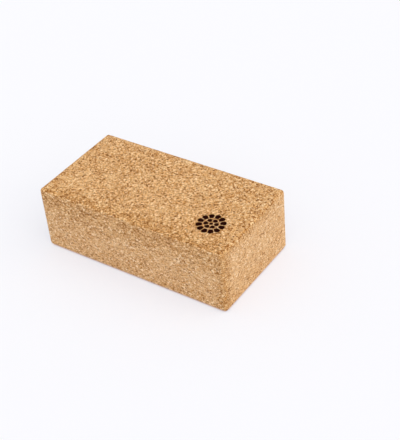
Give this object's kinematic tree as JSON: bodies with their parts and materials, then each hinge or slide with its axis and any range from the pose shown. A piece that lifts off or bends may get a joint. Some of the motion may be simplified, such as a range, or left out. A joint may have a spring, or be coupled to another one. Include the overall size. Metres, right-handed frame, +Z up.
{
  "type": "yoga block",
  "caption": "Rectangular cork yoga block with rounded edges and a small round stamped rosette near one corner of a broad face, to lean, sit or stand on.",
  "frame": {"origin": "middle of the bottom face, on the surface that the block lies on", "axes": "+X along the block's length, towards the end with the mark; +Y across its width, away from the mark; +Z up, along its thickness"},
  "size_m": [0.23, 0.12, 0.075],
  "materials": {
    "cork": "bare agglomerated cork, sanded, matte, light tan with dark and pale specks",
    "ink": "dark brown stamping ink, matte, soaked into the cork grain"
  },
  "bodies": {
    "root": {"cork_body": "cork", "mark_outer_petals": "ink", "mark_inner_petals": "ink", "mark_centre": "ink"}
  },
  "joints": []
}
